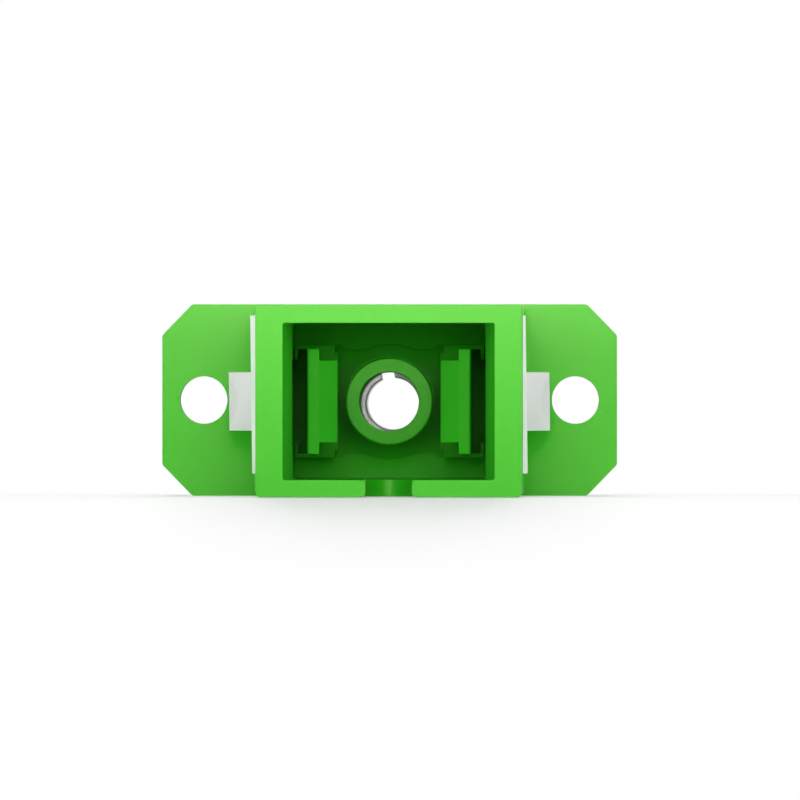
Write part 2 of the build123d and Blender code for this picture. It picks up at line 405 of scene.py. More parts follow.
@dataclass(frozen=True)
class MouldedPlastic(Finish):
    """Glass-filled PBT, moulded in a spark-eroded tool: an even satin green with a fine grain.

    The pigment is deep, so the colour stays strong in shade, and the gloss only whitens it in the
    light. The mould's walls drag on faces along the draw, which come out duller than those across
    it, and the polished core pin leaves the sleeve holder's ring smoother than the rest.
    """

    name: str = "moulded_green_pbt"
    colour: str = "#26b711"
    other_colour: str = "#22b10f"
    roughness: float = 0.3
    side_roughness: float = 0.6
    drag_range: Point = (0.3, 0.7)
    polished_roughness: float = 0.3
    polished_radius: float = 0.0
    gloss: float = 0.55
    gloss_tint: str = "#ffffc4"
    flow_mm: float = 6.0
    grain_mm: float = 0.09
    grain_depth_mm: float = 0.0008
    grain_range: Point = (0.3, 0.7)
    grain_roughness: float = 0.03
    grain_strength: float = 0.35

    def pattern(self, tree: bpy.types.NodeTree, place: bpy.types.Node) -> tuple[Socket, dict]:
        """Flow marks in the colour, and a grain on dragged sides and a polished core."""
        where = place.outputs["Object"]
        flow = add_node(tree, "ShaderNodeTexNoise",
                        {"Scale": 1 / (self.flow_mm * METRES), "Detail": 3.0}, Vector=where)
        facing = add_node(tree, "ShaderNodeSeparateXYZ", Vector=place.outputs["Normal"])
        across = add_node(tree, "ShaderNodeMath", {"operation": "ABSOLUTE"}, in0=facing.outputs[1])
        drag = add_node(tree, "ShaderNodeMapRange", Value=across.outputs[0],
                        From_Min=self.drag_range[0], From_Max=self.drag_range[1],
                        To_Min=self.side_roughness, To_Max=self.roughness)
        level = add_node(tree, "ShaderNodeVectorMath", {"operation": "MULTIPLY"}, in0=where,
                         in1=(1.0, 0.0, 1.0))
        reach = add_node(tree, "ShaderNodeVectorMath", {"operation": "LENGTH"},
                         in0=level.outputs[0])
        core = add_node(tree, "ShaderNodeMath", {"operation": "LESS_THAN"},
                        in0=reach.outputs["Value"], in1=self.polished_radius * METRES)
        even = add_node(tree, "ShaderNodeMix", {"data_type": "FLOAT", 3: self.polished_roughness},
                        in0=core.outputs[0], in2=drag.outputs[0])
        grain = add_node(tree, "ShaderNodeTexNoise",
                         {"Scale": 1 / (self.grain_mm * METRES), "Detail": 2.0}, Vector=where)
        spread = add_node(tree, "ShaderNodeMapRange", Value=grain.outputs["Fac"],
                          From_Min=self.grain_range[0], From_Max=self.grain_range[1],
                          To_Min=-self.grain_roughness, To_Max=self.grain_roughness)
        dull = add_node(tree, "ShaderNodeMath", {"operation": "ADD"}, in0=even.outputs[0],
                        in1=spread.outputs[0])
        bump = add_node(tree, "ShaderNodeBump",
                        {"Strength": self.grain_strength,
                         "Distance": self.grain_depth_mm * METRES}, Height=grain.outputs["Fac"])
        return flow.outputs["Fac"], {
            "Roughness": dull.outputs[0],
            "Normal": bump.outputs[0],
            "Specular IOR Level": self.gloss,
            "Specular Tint": to_linear(self.gloss_tint),
        }


@dataclass(frozen=True)
class RolledSteel(Finish):
    """Stainless spring strip, rolled and tumbled: nearly white and matt, with a fine speckle.

    A faint darker disc round each screw hole is painted shade on the tabs.
    """

    name: str = "rolled_spring_steel"
    colour: str = "#fbfafb"
    # the darker colour, used only as painted shade round the screw holes
    other_colour: str = "#f1f0f1"
    roughness: float = 0.42
    metal: float = 0.04
    speckle_mm: float = 0.16
    speckle_depth_mm: float = 0.003
    speckle_strength: float = 0.5
    speckle_range: Point = (0.35, 0.65)
    speckle_roughness: float = 0.12
    # painted shade: a darker disc round each screw hole, with its centre, size, blur and strength
    hole_x: float = 9.0
    hole_z: float = 0.07
    painted_shade_radius: float = 1.72
    painted_shade_blur: float = 0.05
    painted_shade_share: float = 0.75

    def pattern(self, tree: bpy.types.NodeTree, place: bpy.types.Node) -> tuple[Socket, dict]:
        """Painted shade in the colour round the screw holes, and a speckle of rough and smooth
        spots.
        """
        where = place.outputs["Object"]
        split = add_node(tree, "ShaderNodeSeparateXYZ", Vector=where)
        across = add_node(tree, "ShaderNodeMath", {"operation": "ABSOLUTE"}, in0=split.outputs[0])
        side = add_node(tree, "ShaderNodeMath", {"operation": "SUBTRACT"}, in0=across.outputs[0],
                        in1=self.hole_x * METRES)
        level = add_node(tree, "ShaderNodeMath", {"operation": "SUBTRACT"}, in0=split.outputs[2],
                         in1=self.hole_z * METRES)
        spot = add_node(tree, "ShaderNodeCombineXYZ", X=side.outputs[0], Y=level.outputs[0])
        reach = add_node(tree, "ShaderNodeVectorMath", {"operation": "LENGTH"},
                         in0=spot.outputs[0])
        # painted shade: the colour darkens inside a circle round each screw hole
        painted_shade = add_node(tree, "ShaderNodeMapRange", Value=reach.outputs["Value"],
                        From_Min=(self.painted_shade_radius - self.painted_shade_blur) * METRES,
                        From_Max=(self.painted_shade_radius + self.painted_shade_blur) * METRES,
                        To_Min=self.painted_shade_share, To_Max=0.0)
        speckle = add_node(tree, "ShaderNodeTexNoise",
                           {"Scale": 1 / (self.speckle_mm * METRES), "Detail": 4.0,
                            "Roughness": 0.65}, Vector=where)
        dull = add_node(tree, "ShaderNodeMapRange", Value=speckle.outputs["Fac"],
                        From_Min=self.speckle_range[0], From_Max=self.speckle_range[1],
                        To_Min=self.roughness - self.speckle_roughness,
                        To_Max=self.roughness + self.speckle_roughness)
        bump = add_node(tree, "ShaderNodeBump",
                        {"Strength": self.speckle_strength,
                         "Distance": self.speckle_depth_mm * METRES},
                        Height=speckle.outputs["Fac"])
        return painted_shade.outputs[0], {
            "Roughness": dull.outputs[0],
            "Normal": bump.outputs[0],
            "Metallic": self.metal,
        }


@dataclass(frozen=True)
class GroundZirconia(Finish):
    """Yttria-stabilised zirconia, ground and polished: a dense white ceramic with a glassy gloss,
    coloured grey here as painted shade for the dim inside of the port.
    """

    name: str = "ground_zirconia"
    # grey, not the ceramic's white: painted shade for the dim inside of the port
    colour: str = "#b6b4b3"
    other_colour: str = "#aeacab"
    roughness: float = 0.18
    cloud_roughness: float = 0.08
    cloud_mm: float = 1.5
    ior: float = 2.1

    def pattern(self, tree: bpy.types.NodeTree, place: bpy.types.Node) -> tuple[Socket, dict]:
        """Faint clouds."""
        cloud = add_node(tree, "ShaderNodeTexNoise", {"Scale": 1 / (self.cloud_mm * METRES)},
                         Vector=place.outputs["Object"]).outputs["Fac"]
        dull = add_node(tree, "ShaderNodeMapRange", Value=cloud, To_Min=self.roughness,
                        To_Max=self.roughness + self.cloud_roughness)
        return cloud, {"Roughness": dull.outputs[0], "IOR": self.ior}


@dataclass(frozen=True)
class NickelPlate(Finish):
    """Bright nickel over turned brass: a warm grey mirror with faint rings from the lathe tool."""

    name: str = "nickel_plated_brass"
    colour: str = "#cfc9bd"
    other_colour: str = "#bfb8aa"
    roughness: float = 0.2
    cloud_mm: float = 2.0
    cloud_roughness: Point = (-0.05, 0.1)
    ring_mm: float = 0.12
    ring_depth_mm: float = 0.002
    ring_strength: float = 0.15

    def pattern(self, tree: bpy.types.NodeTree, place: bpy.types.Node) -> tuple[Socket, dict]:
        """Clouds in the plating over the rings of the tool."""
        where = place.outputs["Object"]
        cloud = add_node(tree, "ShaderNodeTexNoise",
                         {"Scale": 1 / (self.cloud_mm * METRES), "Detail": 4.0},
                         Vector=where).outputs["Fac"]
        dull = add_node(tree, "ShaderNodeMapRange", Value=cloud,
                        To_Min=self.roughness + self.cloud_roughness[0],
                        To_Max=self.roughness + self.cloud_roughness[1])
        ring = add_node(tree, "ShaderNodeTexWave",
                        {"bands_direction": "Y", "Scale": 1 / (self.ring_mm * METRES) / WAVE_RATE,
                         "Distortion": 0.6, "Detail": 2.0}, Vector=where)
        bump = add_node(tree, "ShaderNodeBump",
                        {"Strength": self.ring_strength, "Distance": self.ring_depth_mm * METRES},
                        Height=ring.outputs["Fac"])
        return cloud, {
            "Roughness": dull.outputs[0],
            "Normal": bump.outputs[0],
            "Metallic": 1.0,
        }


HOUSING_GREEN = MouldedPlastic()
INSERT_GREEN = MouldedPlastic(name="matt_green_pbt", roughness=0.6, side_roughness=0.7, gloss=0.2,
                              polished_radius=2.2)
NICKEL = NickelPlate()


class Workshop:
    """Keeps one material for each finish and dresses finished pieces."""

    def __init__(self) -> None:
        """Start with no material made."""
        self.made: dict[str, bpy.types.Material] = {}

    def material(self, finish: Finish) -> bpy.types.Material:
        """The material of a finish, made once."""
        if finish.name not in self.made:
            self.made[finish.name] = finish.material()
        return self.made[finish.name]

    def hand_over(self, piece: Solid, node: str, finish: Finish) -> None:
        """Scale a piece to metres, dress it and put it in the place of its CAD node.

        Args:
            piece: The finished piece, in millimetres.
            node: The CAD node that it stands for.
            finish: What its surface is.
        """
        piece.name = f"{node}_visual"
        piece.data.name = piece.name
        piece.data.transform(Matrix.Scale(METRES, 4))
        piece.data.materials.clear()
        piece.data.materials.append(self.material(finish))
        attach(piece, "root")
        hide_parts(node)
        LOG.info("%s: %d faces, %s", piece.name, len(piece.data.polygons), finish.name)


# The sub-assemblies

@dataclass
class Joint:
    """Sizes that both halves of the adapter share at the flange, in mm."""

    screw_pitch: float = 18.0
    screw_radius: float = 1.15
    flange_end: float = 2.0
    flange_height: float = 9.26
    flange_half: float = 1.2
    flange_rise: float = 0.07
    corner_x: float = 1.45
    corner_z: float = 1.5
    corner_round: float = 0.25
    chamber_width: float = 10.8
    chamber_height: float = 8.2
    chamber_corner: float = 0.5
    seat: float = 0.06
    shell_root_width: float = 13.06
    shell_height: float = 9.06

    def flange(self, front: float, back: float) -> Solid:
        """Half of the flange: a plate with cut corners and two screw holes."""
        x = self.screw_pitch / 2 + self.flange_end
        z = self.flange_height / 2
        slant = math.degrees(math.atan2(self.corner_x, self.corner_z))
        inset = self.corner_round
        low = (x - inset, z - self.corner_z - inset * math.tan(math.radians(slant / 2)))
        high = (x - self.corner_x - inset * math.tan(math.radians((90 - slant) / 2)), z - inset)
        top = with_mirrored(arc(low, inset, 0, slant, 4) + arc(high, inset, slant, 90, 4))
        bottom = [(px, -pz) for px, pz in reversed(top)]
        outline = [(px, pz + self.flange_rise) for px, pz in top + bottom]
        plate = prism(outline, front, back, name="flange")
        hole = circle(self.screw_radius, 72, (self.screw_pitch / 2, self.flange_rise))
        return shape(plate, Cut.REMOVE, pairs(prism(hole, front - PAST, back + PAST)))

    def chamber(self, front: float, back: float, grow: float = 0.0) -> Solid:
        """The chamber that holds the inserts, or with a negative growth a plate that fits it."""
        return prism(rounded_box(self.chamber_width + 2 * grow, self.chamber_height + 2 * grow,
                                 self.chamber_corner + grow), front, back)


@dataclass
class SleeveHolder:
    """A tube with a lip that holds one end of the alignment sleeve, in mm."""

    bore_radius: float = 1.85
    wall: float = 0.25
    bore_length: float = 5.8
    lip: float = 0.6
    lip_radius: float = 1.42
    edge: float = 0.1
    steps: int = 128

    def section(self, joint_y: float, side: Side) -> Outline:
        """The tube's outside section, from the joint to its rounded tip."""
        tip = self.bore_length + self.lip
        outer = self.bore_radius + self.wall
        points = [(self.lip_radius, 0.0), (outer, 0.0)]
        points += arc((outer - self.edge, tip - self.edge), self.edge, 0, 90, 4)
        inner_edge = self.edge / 2
        points += arc((self.lip_radius + inner_edge, tip - inner_edge), inner_edge, 90, 180, 3)
        return [(radius, joint_y + side.value * y) for radius, y in points]

    def hole(self, radius: float, joint_y: float, side: Side) -> Solid:
        """A cylinder from behind the plate to the end of the sleeve's room."""
        ends = sorted((joint_y - side.value, joint_y + side.value * self.bore_length))
        return prism(circle(radius, self.steps), ends[0], ends[1])

    def add_to(self, plate: Solid, joint_y: float, side: Side) -> None:
        """Mould the tube onto a plate and open it.

        Args:
            plate: The plate that it stands on.
            joint_y: The Y where the two holders meet.
            side: The port that it points to.
        """
        shape(plate, Cut.REMOVE, [self.hole(self.lip_radius, joint_y, side)])
        shape(plate, Cut.JOIN, [turned(self.section(joint_y, side), self.steps)])
        shape(plate, Cut.REMOVE, [self.hole(self.bore_radius, joint_y, side)])


@dataclass
class FrontHousing:
    """The square port's shell and the front half of the flange, one moulding, in mm."""

    joint: Joint
    length: float = 12.5
    mouth_width: float = 12.58
    corner: float = 0.22
    sink: float = 0.5
    port_width: float = 9.22
    port_mouth_width: float = 10.04
    port_height: float = 7.45
    port_corner: float = 0.12
    port_past: float = 0.2
    lead_in: float = 3.4
    key_width: float = 2.2
    key_length: float = 5.0
    key_corner: float = 0.24
    key_past: float = 0.3
    spread_reach: float = 5.33
    spread_height: float = 4.0
    spread_front: float = 4.2
    plate_front: float = -1.3
    track_x: float = 6.23
    track_z: float = 4.0
    track_bend: float = 0.36
    track_front: float = -7.74
    track_back: float = -1.56
    track_bottom: float = -3.48
    track_far: float = 8.0
    hook_depth: float = 0.55
    hook_half: float = 1.04
    hook_height: float = 0.38
    edge: float = 0.04

    def shell(self) -> Solid:
        """The drafted outside of the shell, sunk a little into the flange so that they join."""
        root = rounded_box(self.joint.shell_root_width, self.joint.shell_height, self.corner)
        mouth = rounded_box(self.mouth_width, self.joint.shell_height, self.corner)
        outside = prism(root, -self.length, 0, front_outline=mouth, name="shell")
        flange = self.joint.flange(0, self.joint.flange_half)
        return shape(outside, Cut.JOIN, [flange, prism(root, 0, self.sink)])

    def port(self) -> list[Solid]:
        """The hollow of the port: lead-in, straight part, room for the arms and the chamber."""
        mouth_y = -self.length
        lead_y = mouth_y + self.lead_in
        straight = rounded_box(self.port_width, self.port_height, self.port_corner)
        grow = (self.port_mouth_width - self.port_width) * self.port_past / self.lead_in
        flared = rounded_box(self.port_mouth_width + grow, self.port_height, self.port_corner)
        end = self.plate_front + OVERLAP
        return [
            prism(straight, mouth_y - self.port_past, lead_y, front_outline=flared),
            prism(straight, lead_y - OVERLAP, end),
            box((-self.spread_reach, self.spread_reach), (mouth_y + self.spread_front, end),
                (-self.spread_height / 2, self.spread_height / 2)),
            self.joint.chamber(self.plate_front, self.joint.flange_half + self.port_past),
        ]

    def keyway(self) -> list[Solid]:
        """The key slot in the bottom wall, its long edges rounded and its inner end half round."""
        half = self.key_width / 2
        edge = self.key_corner
        past = self.key_past
        low = -self.joint.shell_height / 2
        high = -self.port_height / 2
        side = arc((half + edge, low + edge), edge, 270, 180, 6)
        side += arc((half + edge, high - edge), edge, 180, 90, 6)
        right = [(half + edge, low - past)] + side + [(half + edge, high + past)]
        end = -self.length + self.key_length - half
        work = bmesh.new()
        middle = Matrix.Translation((0, end, (low + high) / 2))
        bmesh.ops.create_cone(work, cap_ends=True, segments=72, radius1=half, radius2=half,
                              depth=high - low + 2 * past, matrix=middle)
        return [prism(with_mirrored(right), -self.length - past, end), solid_from("tool", work)]

    def clip_track(self) -> list[Solid]:
        """The shallow track round three sides for the clip, with a notch for each hook."""
        far = self.track_far
        run = (self.track_front, self.track_back)
        middle = sum(run) / 2
        side = box((self.track_x, far), run, (self.track_bottom, far))
        top = box((-far, far), run, (self.track_z, far))
        notch = box((self.track_x - self.hook_depth, far),
                    (middle - self.hook_half, middle + self.hook_half),
                    (self.track_bottom, self.track_bottom + self.hook_height))
        bend = self.track_bend
        center = (self.track_x - bend, self.track_z - bend)
        corner = box((center[0], far), run, (center[1], far))
        shape(corner, Cut.REMOVE, [prism(circle(bend, 64, center), -far, 0)])
        return pairs(side) + [top] + pairs(corner, notch)

    def build(self, shop: Workshop) -> None:
        """Make the housing and put it in its place."""
        piece = self.shell()
        shape(piece, Cut.REMOVE, self.port() + self.keyway() + self.clip_track())
        soften(piece, self.edge)
        shop.hand_over(piece, "sc_housing", HOUSING_GREEN)


@dataclass
class LatchInsert:
    """Base plate, pads, two hooked arms and the front sleeve holder, one moulding, in mm."""

    joint: Joint
    holder: SleeveHolder
    plate_front: float = -1.3
    pad_rise: float = 1.7
    pad_x: Point = (2.45, 4.55)
    pad_z: float = 2.7
    pocket_z: float = 2.5
    pocket_radius: float = 2.78
    pocket_depth: float = 0.6
    notch: float = 0.36
    notch_depth: float = 0.3
    arm_x: Point = (3.33, 3.91)
    arm_z: float = 2.5
    arm_tip: float = -7.8
    arm_round: float = 0.12
    nose_x: float = 2.47
    nose_z: float = 1.95
    nose_length: float = 1.6
    nose_flat: float = 0.35
    nose_sink: float = 0.1
    slot_wide_x: float = 4.85
    slot_tall_x: float = 4.38
    slot_z: float = 2.0
    slot_floor: float = 0.5
    edge: float = 0.045

    def arm(self) -> list[Solid]:
        """The right arm's blade and its hooked nose."""
        inner, outer = self.arm_x
        root = self.plate_front + self.pocket_depth
        tip = self.arm_tip
        heel = tip + self.nose_length
        bend = self.arm_round
        blade = [(inner, root), (inner, tip), (outer - bend, tip)]
        blade += arc((outer - bend, tip + bend), bend, 270, 360, 5)[1:]
        blade += [(outer, root)]
        nose = [
            (inner + self.nose_sink, tip),
            (inner, tip),
            (self.nose_x, tip + self.nose_flat),
            (self.nose_x, heel - self.nose_flat),
            (inner, heel),
            (inner + self.nose_sink, heel),
        ]
        return [lying_prism(blade, -self.arm_z, self.arm_z),
                lying_prism(nose, -self.nose_z, self.nose_z)]

    def openings(self) -> list[Solid]:
        """What is cut by the right arm: the stepped slot, the core window and two notches."""
        front = self.plate_front - 2 * self.pad_rise
        floor = self.joint.flange_half - self.slot_floor
        inner, outer = self.arm_x
        tools = [
            box((outer, self.slot_wide_x), (front, floor), (-self.slot_z, self.slot_z)),
            box((outer, self.slot_tall_x), (front, floor), (-self.arm_z, self.arm_z)),
            box((self.nose_x + self.joint.seat, inner), (front, self.joint.flange_half + PAST),
                (-self.nose_z, self.nose_z)),
        ]
        half = self.notch / 2
        x = self.pad_x[0]
        for z in (half - self.pad_z, self.pad_z - half):
            tools.append(box((x - half, x + half), (front, self.plate_front + self.notch_depth),
                             (z - half, z + half)))
        return tools

    def build(self, shop: Workshop) -> None:
        """Make the insert and put it in its place."""
        joint_y = self.joint.flange_half
        pocket = (self.plate_front - PAST, self.plate_front + self.pocket_depth)
        pad = box(self.pad_x, (self.plate_front - self.pad_rise, pocket[1]),
                  (-self.pad_z, self.pad_z))
        piece = self.joint.chamber(self.plate_front + self.joint.seat, joint_y, -self.joint.seat)
        shape(piece, Cut.REMOVE, [
            prism(circle(self.pocket_radius), *pocket),
            box((-self.pad_x[0], self.pad_x[0]), pocket, (-self.pocket_z, self.pocket_z)),
        ])
        shape(piece, Cut.JOIN, pairs(pad))
        shape(piece, Cut.REMOVE, pairs(*self.openings()))
        shape(piece, Cut.JOIN, pairs(*self.arm()))
        self.holder.add_to(piece, joint_y, Side.SQUARE)
        soften(piece, self.edge)
        shop.hand_over(piece, "latch_insert", INSERT_GREEN)


@dataclass
class AlignmentSleeve:
    """The split ceramic sleeve, settled a little off the axis in its holders, in mm."""

    joint: Joint
    outer: float = 1.6
    inner: float = 1.25
    length: float = 11.4
    slit: float = 0.62
    bevel: float = 0.08
    settle: float = 0.21
    settle_angle: float = -31.0
    slit_turn: float = 10.0
    slit_reach: float = 3.0
    edge: float = 0.02

    def build(self, shop: Workshop) -> None:
        """Make the sleeve and put it in its place."""
        turn = math.radians(self.settle_angle)
        center = (self.settle * math.cos(turn), self.settle * math.sin(turn))
        front = self.joint.flange_half - self.length / 2
        back = self.joint.flange_half + self.length / 2
        bevel = self.bevel
        piece = turned([
            (self.inner + bevel, front), (self.outer - bevel, front), (self.outer, front + bevel),
            (self.outer, back - bevel), (self.outer - bevel, back), (self.inner + bevel, back),
            (self.inner, back - bevel), (self.inner, front + bevel),
        ], center=center, name="sleeve")
        half = self.slit / 2
        cutter = box((-half, half), (front - PAST, back + PAST), (0, self.slit_reach))
        turned_by = Matrix.Rotation(math.radians(-self.slit_turn), 4, "Y")
        cutter.data.transform(Matrix.Translation((center[0], 0, center[1])) @ turned_by)
        shape(piece, Cut.REMOVE, [cutter])
        soften(piece, self.edge)
        shop.hand_over(piece, "alignment_sleeve", GroundZirconia())


@dataclass
class PanelClip:
    """The clip of spring strip round three sides of the shell, a sprung tab each side, in mm.

    It sits a little askew in its track, as the photo shows: both legs lean the same way.
    """

    sheet: float = 0.3
    outer: float = 6.57
    top: float = 4.34
    run: Point = (-7.7, -1.6)
    leg_top: float = 4.1
    leg_bottom: float = -3.44
    inset: float = 1.0
    bend: float = 0.7
    tab_half: float = 1.4
    tab_root: float = -6.3
    tab_end: float = -2.6
    tab_reach: float = 7.72
    slit: float = 0.25
    hook_half: float = 1.0
    hook_reach: float = 0.51
    hook_sink: float = 0.1
    lean: float = 0.75
    edge: float = 0.04

    @property
    def inner(self) -> float:
        """How far the inside of a leg is from the middle plane."""
        return self.outer - self.sheet

    def arch(self) -> Solid:
        """The bridge over the top and its two bends, with the legs' upper ends."""
        center = (self.outer - self.bend, self.top - self.bend)
        over = [(self.outer, 0.0)] + arc(center, self.bend, 0, 90, 10)
        under = [(self.inner, 0.0)] + arc(center, self.bend - self.sheet, 0, 90, 10)
        outline = with_mirrored(over) + mirrored(under) + list(reversed(under))
        return prism(outline, self.run[0] + self.inset, self.run[1] - self.inset, name="clip")

    def leg(self) -> list[Solid]:
        """The right leg with its square shoulders and the hook at its end."""
        x = (self.inner, self.outer)
        front, back = self.run
        middle = sum(self.run) / 2
        bottom = self.leg_bottom
        return [
            box(x, self.run, (bottom, self.top - self.bend)),
            box(x, (front, front + self.inset), (bottom, self.leg_top)),
            box(x, (back - self.inset, back), (bottom, self.leg_top)),
            box((self.inner - self.hook_reach, self.inner + self.hook_sink),
                (middle - self.hook_half, middle + self.hook_half), (bottom, bottom + self.sheet)),
        ]

    def window(self) -> Solid:
        """The opening that the tab is cut from."""
        half = self.tab_half + self.slit
        return box((self.outer - 2 * self.sheet, self.outer + self.sheet),
                   (self.tab_root, self.tab_end + self.slit), (-half, half))

    def tab(self) -> Solid:
        """The right tab, flared out towards the flange."""
        slope = math.atan2(self.tab_reach - self.outer, self.tab_end - self.tab_root)
        shift_x = self.sheet * math.cos(slope)
        shift_y = self.sheet * math.sin(slope)
        outline = [
            (self.inner, self.tab_root - self.sheet),
            (self.outer, self.tab_root - self.sheet),
            (self.outer, self.tab_root),
            (self.tab_reach, self.tab_end),
            (self.tab_reach - shift_x, self.tab_end + shift_y),
            (self.inner, self.tab_root + shift_y),
        ]
        return lying_prism(outline, -self.tab_half, self.tab_half)

    def build(self, shop: Workshop) -> None:
        """Make the clip and put it in its place."""
        piece = self.arch()
        shape(piece, Cut.JOIN, pairs(*self.leg()))
        shape(piece, Cut.REMOVE, pairs(self.window()))
        shape(piece, Cut.JOIN, pairs(self.tab()))
        soften(piece, self.edge)
        askew = Matrix.Identity(4)
        askew[0][2] = -math.tan(math.radians(self.lean))
        piece.data.transform(askew)
        shop.hand_over(piece, "panel_clip", RolledSteel())


@dataclass
class RearHousing:
    """The rear half of the flange and the block that traps the barrel's foot, in mm."""

    joint: Joint
    block_length: float = 4.4
    block_sink: float = 0.4
    corner: float = 0.8
    corner_steps: int = 10
    bevel: float = 0.3
    chamber_depth: float = 2.4
    barrel_hole: float = 4.06
    edge: float = 0.04

    def build(self, shop: Workshop) -> None:
        """Make the housing and put it in its place."""
        start = self.joint.flange_half
        back = start + self.block_length
        piece = self.joint.flange(start, start + self.joint.flange_half)
        wide, narrow = (rounded_box(self.joint.shell_root_width - 2 * less,
                                    self.joint.shell_height - 2 * less, self.corner - less,
                                    self.corner_steps) for less in (0.0, self.bevel))
        shape(piece, Cut.JOIN, [
            prism(wide, start + self.block_sink, back - self.bevel),
            prism(narrow, back - self.bevel, back, front_outline=wide),
        ])
        shape(piece, Cut.REMOVE, [
            self.joint.chamber(start - PAST, start + self.chamber_depth),
            prism(circle(self.barrel_hole, 128), start - PAST, back + PAST),
        ])
        soften(piece, self.edge)
        shop.hand_over(piece, "fc_housing", HOUSING_GREEN)


@dataclass
class RearInsert:
    """The plate with the rear sleeve holder, in mm."""

    joint: Joint
    holder: SleeveHolder
    plate: float = 1.2
    edge: float = 0.045

    def build(self, shop: Workshop) -> None:
        """Make the insert and put it in its place."""
        start = self.joint.flange_half
        piece = self.joint.chamber(start, start + self.plate, -self.joint.seat)
        self.holder.add_to(piece, start, Side.ROUND)
        soften(piece, self.edge)
        shop.hand_over(piece, "fc_insert", INSERT_GREEN)


# The groove's arithmetic: each step's name, its operation and the steps or numbers it works on
GROOVE_STEPS = (
    ("xx", "MULTIPLY", "x", "x"),
    ("zz", "MULTIPLY", "z", "z"),
    ("square", "ADD", "xx", "zz"),
    ("radius", "SQRT", "square"),
    ("angle", "ARCTAN2", "z", "x"),
    ("turn", "DIVIDE", "angle", 2 * math.pi),
    ("along", "SUBTRACT", "y", "Groove At"),
    ("turns along", "DIVIDE", "along", "Pitch"),
    ("phase", "ADD", "turns along", "turn"),
    ("swing", "PINGPONG", "phase", 0.5),
    ("beside", "DIVIDE", "swing", 0.5),
    ("flanks", "SUBTRACT", 1.0, "Crest"),
    ("climb", "DIVIDE", "beside", "flanks"),
    ("sunk", "SUBTRACT", 1.0, "climb"),
    ("share", "MAXIMUM", "sunk", 0.0),
    ("cut", "MULTIPLY", "share", "Depth"),
    ("wanted", "SUBTRACT", "Major Radius", "cut"),
    ("least", "SUBTRACT", "Major Radius", OVERLAP),
    ("outside", "GREATER_THAN", "radius", "least"),
    ("first", "SUBTRACT", "Start", OVERLAP),
    ("after", "GREATER_THAN", "y", "first"),
    ("last", "ADD", "End", OVERLAP),
    ("before", "LESS_THAN", "y", "last"),
    ("begun", "MULTIPLY", "outside", "after"),
    ("chosen", "MULTIPLY", "begun", "before"),
    ("scale", "DIVIDE", "wanted", "radius"),
    ("moved x", "MULTIPLY", "x", "scale"),
    ("moved z", "MULTIPLY", "z", "scale"),
)


